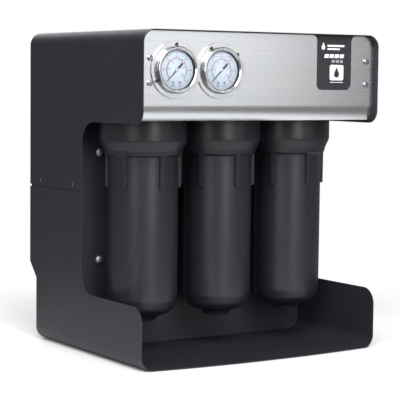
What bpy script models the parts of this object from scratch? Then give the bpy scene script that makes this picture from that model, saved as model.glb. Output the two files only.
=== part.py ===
"""Under-counter reverse osmosis unit: a bent-sheet case with a hood and a drip tray, three screw-on filter
housings, two panel gauges, and a rear compartment with the booster pump, valves and controls.

Run it with: blender --background --python part.py, or from Blender's text editor.
Lengths below are millimetres, turned into metres by the helpers. +Z is up, the front faces -Y, and the
origin is the centre of the footprint, on the surface that it stands on.
"""
import math

import bmesh
import bpy
from mathutils import Matrix, Vector

MM = 0.001

# ---------------------------------------------------------------- driving dimensions, mm
WIDTH = 436.0            # case, outside
HEIGHT = 501.0
SHEET = 1.5              # steel sheet
BEND_R = 20.0            # outside radius of the four long bends
FRONT = -181.0           # front edge of the side walls
BACK = 181.0             # rear edge of the side walls
FLOOR_BULGE = 14.0       # how far the tray's front edge bows forward at the middle
SHIFT_Y = 7.0            # puts the origin at the middle of the whole depth
GAP = 0.3                # between pieces that touch

TRAY_WALL = 94.5         # top of the tray's side walls
HOOD_EDGE = 361.8        # bottom of the hood's side walls
COLUMN_Y = 4.0           # front edge of the rear columns of the side walls
SEAM_Z = 252.5           # where the upper shell meets the base shell
STEP_Y = 158.0           # lower rear step
STEP_Z0, STEP_Z1 = 101.0, 127.0

PANEL_Y = -171.0         # front face of the stainless panel
PANEL_T = 1.5
PANEL_Z0, PANEL_Z1 = 366.6, 499.0
PANEL_X = 216.0
PANEL_BEND = 32.0        # outer radius of the lower edge
PANEL_ROLL = 48.0        # degrees that edge turns back before it is cut off
LABEL_X0, LABEL_X1, LABEL_Z = 102.5, 170.4, 414.0

PARTITION_Y = 21.5       # front face of the wall behind the housings

HOUSING_X = (-138.0, 0.0, 138.0)
HOUSING_Y = -48.5
COLLAR_R, BODY_R, RIB_R, NUB_R = 68.0, 54.5, 59.0, 22.5
COLLAR_TOP, COLLAR_LOW, CONE_LOW, BODY_LOW, NUB_LOW = 372.0, 336.5, 314.0, 92.0, 53.5
RIB_Z0, RIB_Z1, RIB_W = 261.0, 317.0, 9.0
THREAD_R = 59.6
SPIGOT_LOW = 345.5
HEAD_TOP = 443.0
CARRIER_Z = 445.0        # middle of the shelf that carries the heads
PORT_Z = 418.0            # the heads' hose ports, through the partition
PORT_Y = 34.0

GAUGE_X = (-157.0, -78.0)
GAUGE_Z = 442.0
GAUGE_FLANGE_R = 42.5
GAUGE_CAN_R = 32.0
NEEDLE_ZERO = math.radians(-135)   # from straight up, seen from the front

# ---------------------------------------------------------------- scene
for old in list(bpy.data.objects):
    bpy.data.objects.remove(old, do_unlink=True)

PARTS = bpy.data.collections.new("reverse_osmosis_unit")
CUTTERS = bpy.data.collections.new("cutters")
bpy.context.scene.collection.children.link(PARTS)
bpy.context.scene.collection.children.link(CUTTERS)

ROOT = bpy.data.objects.new("frame_origin", None)
ROOT.location = (0, SHIFT_Y * MM, 0)
PARTS.objects.link(ROOT)


def material(name, rgb, rough, metal=0.0, alpha=1.0):
    m = bpy.data.materials.new(name)
    m.use_nodes = True
    s = m.node_tree.nodes["Principled BSDF"]
    s.inputs["Base Color"].default_value = (*rgb, 1)
    s.inputs["Roughness"].default_value = rough
    s.inputs["Metallic"].default_value = metal
    s.inputs["Alpha"].default_value = alpha
    return m


POWDER = material("powder_coat", (0.035, 0.037, 0.042), 0.5)
STEEL = material("brushed_stainless", (0.68, 0.69, 0.70), 0.3, 1.0)
POLISHED = material("polished_steel", (0.80, 0.80, 0.80), 0.12, 1.0)
ZINC = material("zinc_screw", (0.55, 0.56, 0.58), 0.35, 1.0)
BLACK_ZINC = material("black_screw", (0.03, 0.03, 0.035), 0.4, 0.6)
HOUSING = material("black_polypropylene", (0.03, 0.031, 0.034), 0.38)
CAP = material("black_cap", (0.025, 0.025, 0.028), 0.45)
DIAL = material("dial_white", (0.84, 0.89, 0.94), 0.5)
GLASS = material("glass", (0.95, 0.97, 1.0), 0.03, 0.0, 0.3)
NEEDLE = material("needle_black", (0.02, 0.02, 0.02), 0.4)
BRASS = material("brass", (0.72, 0.55, 0.25), 0.3, 1.0)
RUBBER = material("rubber", (0.02, 0.02, 0.02), 0.8)
FILTER = material("filter_white", (0.80, 0.80, 0.78), 0.8)
MEMBRANE = material("membrane_wrap", (0.75, 0.78, 0.80), 0.5)
FITTING = material("white_acetal", (0.78, 0.78, 0.76), 0.4)
TUBE = material("white_tube", (0.80, 0.82, 0.84), 0.4)
MOTOR = material("motor_grey", (0.22, 0.23, 0.25), 0.45, 0.3)
PLASTIC = material("black_plastic", (0.03, 0.03, 0.03), 0.5)
LABEL = material("label_black", (0.03, 0.032, 0.036), 0.35)


# ---------------------------------------------------------------- helpers
def put(ob, mat, loc, rot):
    """Places an object in the case's own frame, in mm and degrees."""
    ob.parent = ROOT
    ob.location = [c * MM for c in loc]
    ob.rotation_euler = [math.radians(a) for a in rot]
    if mat is not None:
        ob.data.materials.append(mat)
        PARTS.objects.link(ob)
    else:
        ob.hide_render = True
        ob.display_type = "WIRE"
        CUTTERS.objects.link(ob)
    return ob


def from_bmesh(name, bm, mat, loc=(0, 0, 0), rot=(0, 0, 0)):
    me = bpy.data.meshes.new(name)
    bm.to_mesh(me)
    bm.free()
    return put(bpy.data.objects.new(name, me), mat, loc, rot)


def bevel(ob, width, segments=1, angle=40):
    m = ob.modifiers.new("bevel", "BEVEL")
    m.width = width * MM
    m.segments = segments
    m.limit_method = "ANGLE"
    m.angle_limit = math.radians(angle)
    return ob


def add_box(bm, lo, hi, turn=None):
    size = [b - a for a, b in zip(lo, hi)]
    mid = [(a + b) / 2 for a, b in zip(lo, hi)]
    m = Matrix.Translation(Vector(mid) * MM) @ Matrix.Diagonal((*[s * MM for s in size], 1))
    if turn is not None:
        m = turn @ m
    bmesh.ops.create_cube(bm, size=1.0, matrix=m)


def box(name, lo, hi, mat, edge=0.0):
    bm = bmesh.new()
    mid = [(a + b) / 2 for a, b in zip(lo, hi)]
    add_box(bm, [a - m for a, m in zip(lo, mid)], [b - m for b, m in zip(hi, mid)])
    ob = from_bmesh(name, bm, mat, mid)
    return bevel(ob, edge) if edge else ob


AXES = {"X": Matrix.Rotation(math.pi / 2, 4, "Y"), "Y": Matrix.Rotation(math.pi / 2, 4, "X"), "Z": Matrix.Identity(4)}


def add_rod(bm, centre, axis, r, length, seg=8, r2=None, spin=0.0):
    m = Matrix.Translation(Vector(centre) * MM) @ AXES[axis] @ Matrix.Rotation(spin, 4, "Z")
    bmesh.ops.create_cone(bm, cap_ends=True, segments=seg, radius1=r * MM, radius2=(r if r2 is None else r2) * MM,
                          depth=length * MM, matrix=m)


def rods(name, items, mat, seg=8):
    """One object of several plain rods: (centre, axis, radius, length)."""
    bm = bmesh.new()
    for centre, axis, r, length in items:
        add_rod(bm, centre, axis, r, length, seg, spin=math.pi / seg)
    return from_bmesh(name, bm, mat)


def boolean(ob, other, operation="DIFFERENCE"):
    m = ob.modifiers.new(operation.lower(), "BOOLEAN")
    m.operation = operation
    m.solver = "EXACT"
    m.object = other
    if operation == "UNION":
        m.use_self = True
    return ob


def turned(name, profile, mat, loc, rot=(0, 0, 0), steps=24, closed=False, smooth=True):
    """A turned shape. profile is (radius, height) in mm, running down the outer side."""
    me = bpy.data.meshes.new(name)
    n = len(profile)
    edges = [(i, i + 1) for i in range(n - 1)] + ([(n - 1, 0)] if closed else [])
    me.from_pydata([(r * MM, 0, z * MM) for r, z in profile], edges, [])
    ob = put(bpy.data.objects.new(name, me), mat, loc, rot)
    m = ob.modifiers.new("screw", "SCREW")
    m.axis = "Z"
    m.angle = 2 * math.pi
    m.steps = m.render_steps = steps
    m.use_merge_vertices = True
    m.merge_threshold = 0.00001
    m.use_smooth_shade = smooth
    return ob


def realise(ob, mat=None):
    """Turns a curve or an object with modifiers into a plain mesh object, so that a Boolean can use it."""
    bpy.context.view_layer.update()
    graph = bpy.context.evaluated_depsgraph_get()
    me = bpy.data.meshes.new_from_object(ob.evaluated_get(graph))
    bm = bmesh.new()
    bm.from_mesh(me)
    bmesh.ops.remove_doubles(bm, verts=bm.verts, dist=1e-6)
    bmesh.ops.recalc_face_normals(bm, faces=bm.faces)
    bm.to_mesh(me)
    bm.free()
    name, loc, rot = ob.name, [c / MM for c in ob.location], [math.degrees(a) for a in ob.rotation_euler]
    bpy.data.objects.remove(ob, do_unlink=True)
    me.materials.clear()
    return put(bpy.data.objects.new(name, me), mat, loc, rot)


def plate(name, outlines, thickness, mat, loc=(0, 0, 0), rot=(0, 0, 0)):
    """A flat plate from a closed outline, with any further outlines as its holes."""
    cu = bpy.data.curves.new(name, "CURVE")
    cu.dimensions = "2D"
    cu.fill_mode = "BOTH"
    cu.extrude = thickness / 2 * MM
    for pts in outlines:
        sp = cu.splines.new("POLY")
        sp.points.add(len(pts) - 1)
        for p, (x, y) in zip(sp.points, pts):
            p.co = (x * MM, y * MM, 0, 1)
        sp.use_cyclic_u = True
    return put(bpy.data.objects.new(name, cu), mat, loc, rot)


SIDEWAYS = (90, 0, 90)    # a plate drawn in (Y, Z), with its thickness along X
UPRIGHT = (90, 0, 0)      # a plate drawn in (X, Z), with its thickness along Y


def arc(cx, cy, r, a0, a1, n):
    """Points on an arc, angles in degrees."""
    return [(cx + r * math.cos(math.radians(a0 + (a1 - a0) * i / n)), cy + r * math.sin(math.radians(a0 + (a1 - a0) * i / n)))
            for i in range(n + 1)]


def circle(cx, cy, r, n=12):
    return [(cx + r * math.cos(2 * math.pi * (i + 0.5) / n), cy + r * math.sin(2 * math.pi * (i + 0.5) / n)) for i in range(n)]


def rect(x0, x1, y0, y1):
    return [(x0, y0), (x1, y0), (x1, y1), (x0, y1)]


def round_rect(x0, x1, y0, y1, r, n=4):
    return (arc(x1 - r, y0 + r, r, -90, 0, n) + arc(x1 - r, y1 - r, r, 0, 90, n)
            + arc(x0 + r, y1 - r, r, 90, 180, n) + arc(x0 + r, y0 + r, r, 180, 270, n))


def bent_sheet(name, path, a0, a1, along, thickness, mat, loc=(0, 0, 0)):
    """A sheet bent along a path at its middle thickness. The path is (X, Z) swept along Y, or (Y, Z) swept along X."""
    bm = bmesh.new()
    vs = [bm.verts.new(((p * MM, a0 * MM, q * MM) if along == "Y" else (a0 * MM, p * MM, q * MM))) for p, q in path]
    es = [bm.edges.new(pair) for pair in zip(vs, vs[1:])]
    got = bmesh.ops.extrude_edge_only(bm, edges=es)["geom"]
    step = (a1 - a0) * MM
    bmesh.ops.translate(bm, verts=[g for g in got if isinstance(g, bmesh.types.BMVert)],
                        vec=(0, step, 0) if along == "Y" else (step, 0, 0))
    bmesh.ops.recalc_face_normals(bm, faces=bm.faces)
    ob = from_bmesh(name, bm, mat, loc)
    m = ob.modifiers.new("sheet", "SOLIDIFY")
    m.thickness = thickness * MM
    m.offset = 0
    m.use_even_offset = True
    return ob


def tube(name, points, r, mat, sides=1, samples=22, path_kind="SMOOTH"):
    """A hose along a smooth curve through the given points."""
    pts = [Vector(p) for p in points]
    out = []
    if path_kind == "SMOOTH":
        ext = [2 * pts[0] - pts[1]] + pts + [2 * pts[-1] - pts[-2]]
        total = sum((b - a).length for a, b in zip(pts, pts[1:]))
        for i in range(len(pts) - 1):
            p0, p1, p2, p3 = ext[i:i + 4]
            n = max(2, round(samples * (p2 - p1).length / total))
            for k in range(n):
                t = k / n
                t0, t1, t2, t3 = 0.0, (p1 - p0).length ** 0.5, 0.0, 0.0
                t2 = t1 + (p2 - p1).length ** 0.5
                t3 = t2 + (p3 - p2).length ** 0.5
                u = t1 + (t2 - t1) * t
                a1 = (t1 - u) / (t1 - t0) * p0 + (u - t0) / (t1 - t0) * p1
                a2 = (t2 - u) / (t2 - t1) * p1 + (u - t1) / (t2 - t1) * p2
                a3 = (t3 - u) / (t3 - t2) * p2 + (u - t2) / (t3 - t2) * p3
                b1 = (t2 - u) / (t2 - t0) * a1 + (u - t0) / (t2 - t0) * a2
                b2 = (t3 - u) / (t3 - t1) * a2 + (u - t1) / (t3 - t1) * a3
                out.append((t2 - u) / (t2 - t1) * b1 + (u - t1) / (t2 - t1) * b2)
        out.append(pts[-1])
    else:
        out = pts
    cu = bpy.data.curves.new(name, "CURVE")
    cu.dimensions = "3D"
    cu.bevel_depth = r * MM
    cu.bevel_resolution = sides
    cu.use_fill_caps = True
    cu.twist_mode = "MINIMUM"
    sp = cu.splines.new("POLY")
    sp.points.add(len(out) - 1)
    for p, c in zip(sp.points, out):
        p.co = (*(c * MM), 1)
    return put(bpy.data.objects.new(name, cu), mat, (0, 0, 0), (0, 0, 0))


def screw(name, p, face, head_r, head_h, shank_r, shank_len, mat, steps=8):
    """A round-head screw: p is the point under its head, face is the way the head faces."""
    rot = {"-Y": (90, 0, 0), "+Y": (-90, 0, 0), "+Z": (0, 0, 0)}[face]
    return turned(name, [(0, head_h), (head_r * 0.55, head_h * 0.86), (head_r * 0.9, head_h * 0.45), (head_r, 0),
                         (shank_r, 0), (shank_r, -shank_len), (0, -shank_len)], mat, p, rot, steps)


# ================================================================ case
def case_void():
    """The open bay between the hood and the tray, drawn in (Y, Z)."""
    pts = [(-320.0, 69.5)]
    pts += arc(FRONT + 25, TRAY_WALL - 25, 25, 180, 90, 5)
    pts += arc(COLUMN_Y - 34, TRAY_WALL + 34, 34, -90, 0, 5)
    pts += arc(COLUMN_Y - 35, HOOD_EDGE - 35, 35, 0, 90, 5)
    pts += arc(FRONT + 20, HOOD_EDGE + 20, 20, 270, 180, 5)
    pts += [(-320.0, HOOD_EDGE + 20)]
    return pts


half, mid_r, t2 = WIDTH / 2 - SHEET / 2, BEND_R - SHEET / 2, SHEET / 2
bay_cut = realise(plate("bay_cutter", [case_void()], 600, None, rot=SIDEWAYS))
seam_relief = box("seam_relief_cutter", (-300, 168, SEAM_Z - 1.6), (300, 220, SEAM_Z + 1.6), None)

REAR_X = 203.5
FLANGE_Y = 176.0         # rear flanges: front face
REAR_Y = 177.8           # rear panel: front face
DOME = [(x, z) for x in (-176.5, 176.5) for z in (142.5, 312.5)]
PANEL_SCREWS = [(x, z) for x in (-200.6, 200.6) for z in (422.5, 459.0)]
dome_holes = rods("dome_hole_cutter", [((x, PARTITION_Y + 3, z), "Y", 2.9, 12) for x, z in DOME], None)
panel_holes = rods("panel_screw_cutter", [((x, PANEL_Y, z), "Y", 2.4, 20) for x, z in PANEL_SCREWS], None)


def flange(bm, s, reach, y, z0, z1):
    """A sheet flange folded inwards from the side wall."""
    add_box(bm, (min(s * 217.2, s * reach), y, z0), (max(s * 217.2, s * reach), y + SHEET, z1))


# upper shell: top and both side walls down to the seam
path = [(-half, SEAM_Z + 0.3)] + arc(-WIDTH / 2 + BEND_R, HEIGHT - BEND_R, mid_r, 180, 90, 6)
path += arc(WIDTH / 2 - BEND_R, HEIGHT - BEND_R, mid_r, 90, 0, 6) + [(half, SEAM_Z + 0.3)]
upper_shell = bent_sheet("upper_shell", path, FRONT, BACK, "Y", SHEET, POWDER)
boolean(upper_shell, bay_cut)
boolean(upper_shell, seam_relief)
bm = bmesh.new()
for s in (-1, 1):
    flange(bm, s, REAR_X, FLANGE_Y, SEAM_Z + 6, 478)
    flange(bm, s, 162, PARTITION_Y + SHEET + 0.3, 290, 335)
    flange(bm, s, 193, PANEL_Y + PANEL_T + 0.3, 405, 478)
boolean(upper_shell, from_bmesh("upper_flange_add", bm, None), "UNION")
boolean(upper_shell, dome_holes)
boolean(upper_shell, panel_holes)

# base shell: floor, tray walls and lower rear columns
path = [(-half, SEAM_Z - 0.3)] + arc(-WIDTH / 2 + BEND_R, BEND_R, mid_r, 180, 270, 6)
path += arc(WIDTH / 2 - BEND_R, BEND_R, mid_r, 270, 360, 6) + [(half, SEAM_Z - 0.3)]
base_shell = bent_sheet("base_shell", path, FRONT - FLOOR_BULGE - 5, BACK, "Y", SHEET, POWDER)
front = [(-260.0, FRONT)] + [(x, FRONT - FLOOR_BULGE * (1 - (x / (WIDTH / 2)) ** 2)) for x in
                            [-218 + 436 * i / 16 for i in range(17)]] + [(260.0, FRONT)]
bow_cut = realise(plate("bow_cutter", [front + [(260.0, -300.0), (-260.0, -300.0)]], 700, None))
step_cut = realise(plate("step_cutter", [[(STEP_Y, -20), (STEP_Y, STEP_Z0), (BACK + 0.6, STEP_Z1), (230, STEP_Z1 + 40), (230, -20)]],
                         600, None, rot=SIDEWAYS))
boolean(base_shell, bow_cut)
boolean(base_shell, bay_cut)
boolean(base_shell, step_cut)
boolean(base_shell, seam_relief)
bm = bmesh.new()
for s in (-1, 1):
    flange(bm, s, REAR_X, FLANGE_Y, 144, SEAM_Z - 6)
    flange(bm, s, 162, PARTITION_Y + SHEET + 0.3, 120, 165)
boolean(base_shell, from_bmesh("base_flange_add", bm, None), "UNION")
boolean(base_shell, dome_holes)

# partition: the wall behind the housings, with windows for the hoses
HEAD_PORTS = {1: (-24.0, 24.0), 2: (-26.0, 0.0, 26.0), 3: (-24.0, 24.0)}
holes = [circle(HOUSING_X[i - 1] + dx, PORT_Z, 9.2, 12) for i, ports in HEAD_PORTS.items() for dx in ports]
holes += [circle(x, z, 2.9, 8) for x, z in DOME]
plate("partition_panel", [round_rect(-216.1, 216.1, SHEET + 0.4, HEIGHT - SHEET - 0.4, 19.2, 5)] + holes, SHEET, POWDER,
      loc=(0, PARTITION_Y + SHEET / 2, 0), rot=UPRIGHT)
for i, (x, z) in enumerate(DOME, 1):
    screw(f"partition_screw_{i}", (x, PARTITION_Y - 0.3, z), "-Y", 6.4, 4.6, 2.5, 9, ZINC, 12)

# front panel: stainless, its lower edge rolled back under the hood
LABEL_R = 8.5
path = [(PANEL_Y + PANEL_T / 2, PANEL_Z1)]
path += arc(PANEL_Y + PANEL_BEND, PANEL_Z0 + PANEL_BEND * math.sin(math.radians(PANEL_ROLL)), PANEL_BEND - PANEL_T / 2,
            180, 180 + PANEL_ROLL, 6)
front_panel = bent_sheet("front_panel", path, -PANEL_X, PANEL_X, "X", PANEL_T, STEEL)
corner = PANEL_X - 197.8
keep = round_rect(-PANEL_X, PANEL_X, 300, PANEL_Z1, corner, 5)
boolean(front_panel, realise(plate("panel_outline", [keep], 300, None, loc=(0, -140, 0), rot=UPRIGHT)), "INTERSECT")
notch = [(LABEL_X0 - LABEL_R, 530.0)] + arc(LABEL_X0 - LABEL_R, PANEL_Z1 - LABEL_R, LABEL_R, 90, 0, 4)
notch += arc(LABEL_X0 + 9, LABEL_Z + 9, 9, 180, 270, 4) + arc(LABEL_X1 - 9, LABEL_Z + 9, 9, 270, 360, 4)
notch += arc(LABEL_X1 + LABEL_R, PANEL_Z1 - LABEL_R, LABEL_R, 180, 90, 4) + [(LABEL_X1 + LABEL_R, 530.0)]
boolean(front_panel, realise(plate("label_notch", [notch], 30, None, loc=(0, PANEL_Y, 0), rot=UPRIGHT)))
boolean(front_panel, panel_holes)
boolean(front_panel, rods("gauge_hole_cutter", [((x, PANEL_Y, GAUGE_Z), "Y", GAUGE_CAN_R + 0.6, 20) for x in GAUGE_X], None, 24))
GAUGE_SCREW_ANGLES = ((90, 206), (119, 40))     # seen from the front, degrees from +X
GAUGE_SCREWS = [(gx + 37.5 * math.cos(math.radians(a)), GAUGE_Z + 37.5 * math.sin(math.radians(a)))
                for gx, angles in zip(GAUGE_X, GAUGE_SCREW_ANGLES) for a in angles]
boolean(front_panel, rods("gauge_screw_cutter", [((x, PANEL_Y, z), "Y", 1.6, 20) for x, z in GAUGE_SCREWS], None, 8))
for i, (x, z) in enumerate(PANEL_SCREWS, 1):
    screw(f"front_panel_screw_{i}", (x, PANEL_Y - 0.3, z), "-Y", 4.3, 2.9, 2.0, 10, ZINC, 12)

# label plate: hangs from the top of the hood behind the notch
plate("label_plate", [round_rect(LABEL_X0 - 14, LABEL_X1 + 14, LABEL_Z - 10, HEIGHT - SHEET - 0.6, 4, 2)], 1.2, LABEL,
      loc=(0, PANEL_Y + PANEL_T + 0.3 + 0.6, 0), rot=UPRIGHT)

# rear panel: steps forward at the bottom to make room for the hose ports, with ventilation slots at the top
SERVICE_Z = 57.0
PORTS = {"feed_port": -165.0, "product_port": -122.0, "drain_port": 122.0}
VALVE_X, INLET_X, SWITCH_X = 168.0, -30.0, 4.0
path = [(155.8, SHEET + 0.4), (155.8, 100.6), (REAR_Y + 0.6, 126.6), (REAR_Y + 0.6, HEIGHT - SHEET - 0.4)]
rear_panel = bent_sheet("rear_panel", path, -216.1, 216.1, "X", 1.2, POWDER)
boolean(rear_panel, realise(plate("rear_outline", [round_rect(-216.1, 216.1, SHEET + 0.4, HEIGHT - SHEET - 0.4, 19.2, 5)], 100, None,
                                  loc=(0, 165, 0), rot=UPRIGHT)), "INTERSECT")
boolean(rear_panel, rods("port_hole_cutter", [((x, 155, SERVICE_Z), "Y", 8.6, 16) for x in PORTS.values()]
                         + [((VALVE_X, 155, SERVICE_Z), "Y", 4.4, 16)], None, 12))
bm = bmesh.new()
for x in (INLET_X, SWITCH_X):
    w = 14.4 if x == INLET_X else 10.4
    add_box(bm, (x - w, 145, SERVICE_Z - 14.4), (x + w, 165, SERVICE_Z + 14.4))
for x0 in (-140, -39, 62):
    for k in range(7):
        add_box(bm, (x0, 170, 385 + 11 * k), (x0 + 78, 185, 388.4 + 11 * k))
boolean(rear_panel, from_bmesh("window_cutter", bm, None))

# ================================================================ gauges
mid_x = (GAUGE_X[0] + GAUGE_X[1]) / 2
for i, gx in enumerate(GAUGE_X, 1):
    at = (gx, PANEL_Y, GAUGE_Z)
    case = turned(f"gauge_{i}_case", [(0, -24), (30.9, -24), (30.9, 7.6), (33, 7.6), (33, 2.4), (GAUGE_FLANGE_R, 2.4), (GAUGE_FLANGE_R, 0.3),
                                      (GAUGE_CAN_R, 0.3), (GAUGE_CAN_R, -26), (6.7, -26), (6.7, -42), (0, -42)][::-1], POLISHED, at, (90, 0, 0), 28)
    side = 1 if gx < mid_x else -1
    x0, x1 = sorted((mid_x - side * 0.15, mid_x + side * 30))
    boolean(case, box(f"gauge_{i}_trim", (x0, PANEL_Y - 10, GAUGE_Z - 60), (x1, PANEL_Y + 10, GAUGE_Z + 60), None))
    boolean(case, rods(f"gauge_{i}_holes", [((x, PANEL_Y, z), "Y", 1.6, 12) for x, z in GAUGE_SCREWS[2 * i - 2:2 * i]], None, 8))
    turned(f"gauge_{i}_bezel", [(32.6, 9.9), (34.6, 8.3), (34.6, 2.7), (33.3, 2.7), (33.3, 7.9), (29.4, 7.9), (29.0, 9.0)],
           POLISHED, at, (90, 0, 0), 28, closed=True)
    turned(f"gauge_{i}_lens", [(0, 7.6), (30.5, 7.6), (30.5, 6.2), (0, 6.2)], GLASS, at, (90, 0, 0), 24)
    turned(f"gauge_{i}_dial", [(1.6, 2.9), (30.5, 2.9), (30.5, 2.1), (1.6, 2.1)], DIAL, at, (90, 0, 0), 24, closed=True)
    # needle: long thin blade one way, short heavy tail the other, on a spindle that runs back to the movement
    bm = bmesh.new()
    add_box(bm, (-0.8, 1, 3.8), (0.8, 23.4, 4.5))
    add_box(bm, (-1.8, -14.2, 3.8), (1.8, -1, 4.5))
    needle_blades = from_bmesh(f"gauge_{i}_needle_blades", bm, None, at, (90, 0, 0))
    needle = turned(f"gauge_{i}_needle", [(0, 5.3), (2.6, 5.3), (2.6, 3.4), (1.1, 3.4), (1.1, -4), (0, -4)], NEEDLE, at, (90, 0, 0), 12)
    turn = Matrix.Rotation(NEEDLE_ZERO, 4, "Y") @ Matrix.Rotation(math.pi / 2, 4, "X")
    for ob in (needle_blades, needle):
        ob.rotation_euler = turn.to_euler()
    boolean(needle, needle_blades, "UNION")
for i, (x, z) in enumerate(GAUGE_SCREWS, 1):
    screw(f"gauge_screw_{i}", (x, PANEL_Y - 2.7, z), "-Y", 2.7, 1.7, 1.3, 7, BLACK_ZINC, 10)

# ================================================================ filter housings
for i, hx in enumerate(HOUSING_X, 1):
    at = (hx, HOUSING_Y, 0)
    profile = [(0, 68), (36, 69.5), (47.5, 86), (49.3, 338), (THREAD_R, 338), (THREAD_R, COLLAR_TOP), (COLLAR_R, COLLAR_TOP),
               (COLLAR_R, COLLAR_LOW), (66.0, 330.5), (59.4, CONE_LOW), (55.6, 311), (BODY_R, 305), (BODY_R, BODY_LOW),
               (51.0, 76.5), (42.0, 65.5), (NUB_R + 4.5, 61.0), (NUB_R, NUB_LOW), (0, NUB_LOW)]
    sump = turned(f"sump_{i}", profile, HOUSING, at, (0, 0, 0), 20)
    bm = bmesh.new()
    for k in range(6):
        add_box(bm, (-RIB_W / 2, -RIB_R, RIB_Z0), (RIB_W / 2, -52.5, RIB_Z1), Matrix.Rotation(k * math.pi / 3, 4, "Z"))
    boolean(sump, from_bmesh(f"sump_{i}_ribs", bm, None, at), "UNION")
    turned(f"seal_ring_{i}", [(54.6 + 3.1 * math.cos(a), 341.7 + 3.1 * math.sin(a)) for a in
                              [math.radians(90 - 60 * k) for k in range(6)]], RUBBER, at, (0, 0, 0), 20, closed=True)
    head = turned(f"head_{i}", [(0, HEAD_TOP), (50, HEAD_TOP), (58, 436), (63, 404), (67.6, 390), (67.6, 372.6), (58.0, 372.6),
                                (58.0, SPIGOT_LOW), (51.5, SPIGOT_LOW), (51.5, 394), (0, 394)], CAP, at, (0, 0, 0), 20)
    bm = bmesh.new()
    for sy in (-38, 38):
        add_rod(bm, (0, sy, HEAD_TOP + 2), "Z", 4.0, 14, 8, spin=math.pi / 8)
    for dx in HEAD_PORTS[i]:
        add_rod(bm, (dx, (45 + PORT_Y - HOUSING_Y) / 2, PORT_Z), "Y", 7.8, PORT_Y - HOUSING_Y - 45, 12)
    boolean(head, from_bmesh(f"head_{i}_ports", bm, None, at), "UNION")

# what the housings hold: a sediment and carbon block, the membrane, and a polishing cartridge
turned("carbon_block_cartridge", [(0, 330), (31, 330), (31, 326), (29.5, 325), (29.5, 79), (31, 78), (31, 74), (0, 74)], FILTER,
       (HOUSING_X[0], HOUSING_Y, 0), steps=16)
turned("membrane_element", [(0, 352), (8, 352), (8, 334), (36, 334), (36, 326), (33, 325), (33, 84), (10, 83), (10, 71), (0, 71)],
       MEMBRANE, (HOUSING_X[1], HOUSING_Y, 0), steps=16)
turned("polishing_cartridge", [(0, 330), (31, 330), (31, 322), (33, 321), (33, 82), (31, 81), (31, 74), (0, 74)], FITTING,
       (HOUSING_X[2], HOUSING_Y, 0), steps=16)

# carrier shelf that holds the three heads, screwed down through it
path = [(-215.2, 478), (-215.2, CARRIER_Z), (215.2, CARRIER_Z), (215.2, 478)]
carrier = bent_sheet("head_carrier", path, -118, 19, "Y", 2.0, ZINC)
boolean(carrier, rods("carrier_hole_cutter", [((hx, HOUSING_Y + dy, CARRIER_Z), "Z", 4.6, 14) for hx in HOUSING_X for dy in (-38, 38)],
                      None, 8))

# ================================================================ pump
MY, MZ = 80.0, 78.0
box_cut = rods("saddle_cutter", [((-10, MY, MZ), "X", 47.3, 200)], None, 24)
cradle = box("pump_cradle", (-62, 48, SHEET + 0.4), (42, 112, 44), MOTOR)
boolean(cradle, box_cut)
turned("motor_housing", [(7.2, 55), (46, 55), (46, -78), (40, -78), (40, -62), (43, -60), (43, 49), (7.2, 49)], MOTOR, (0, MY, MZ), (0, 90, 0), 20,
       closed=True)
turned("pump_body", [(0, 120), (26, 120), (30, 116), (30, 55.6), (7.2, 55.6), (7.2, 72), (22, 72), (22, 106), (0, 106)], BRASS,
       (0, MY, MZ), (0, 90, 0), 16)
rotor = turned("motor_rotor", [(0, 104), (19, 104), (19, 74), (5.5, 74), (5.5, 44), (37, 44), (37, -36), (5.5, -36), (5.5, -58), (12, -59), (12, -72), (0, -72)],
               POLISHED, (0, MY, MZ), (0, 90, 0), 16)
bm = bmesh.new()
for k in range(6):
    add_box(bm, (10, -1, -71), (37, 1, -60.5), Matrix.Rotation(k * math.pi / 3, 4, "Z"))
boolean(rotor, from_bmesh("rotor_fan_add", bm, None, (0, MY, MZ), (0, 90, 0)), "UNION")
bm = bmesh.new()
PUMP_IN, PUMP_OUT = (74.0, MY), (102.0, MY)
for px, py in (PUMP_IN, PUMP_OUT):
    add_rod(bm, (px, py, MZ + 35), "Z", 7.5, 16, 12)
boolean(bpy.data.objects["pump_body"], from_bmesh("pump_nozzle_add", bm, None), "UNION")
PUMP_TOP = MZ + 43.3

# ================================================================ valves and controls
valve = box("inlet_valve", (-181, 96, 44), (-149, 126, 68), BRASS, 2)
boolean(valve, rods("valve_nozzle_add", [((-165, 131, SERVICE_Z), "Y", 7.5, 11.4)], None, 12), "UNION")
boolean(valve, rods("valve_stem_add", [((-165, 111, 72), "Z", 6.4, 20)], None, 12), "UNION")
boolean(valve, bevel(box("valve_coil_add", (-182, 94, 71), (-148, 128, 104), None), 2), "UNION")

for name, x in PORTS.items():
    turned(name, [(0, 3), (4.9, 3), (4.9, 20.5), (8.0, 20.5), (9.2, 18.5), (9.2, 12), (11.5, 11.4), (11.5, 1.6), (8.2, 1.6),
                  (8.2, -12), (6.6, -18), (0, -18)], FITTING, (x, 155.2, SERVICE_Z), (-90, 0, 0), 12)

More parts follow.
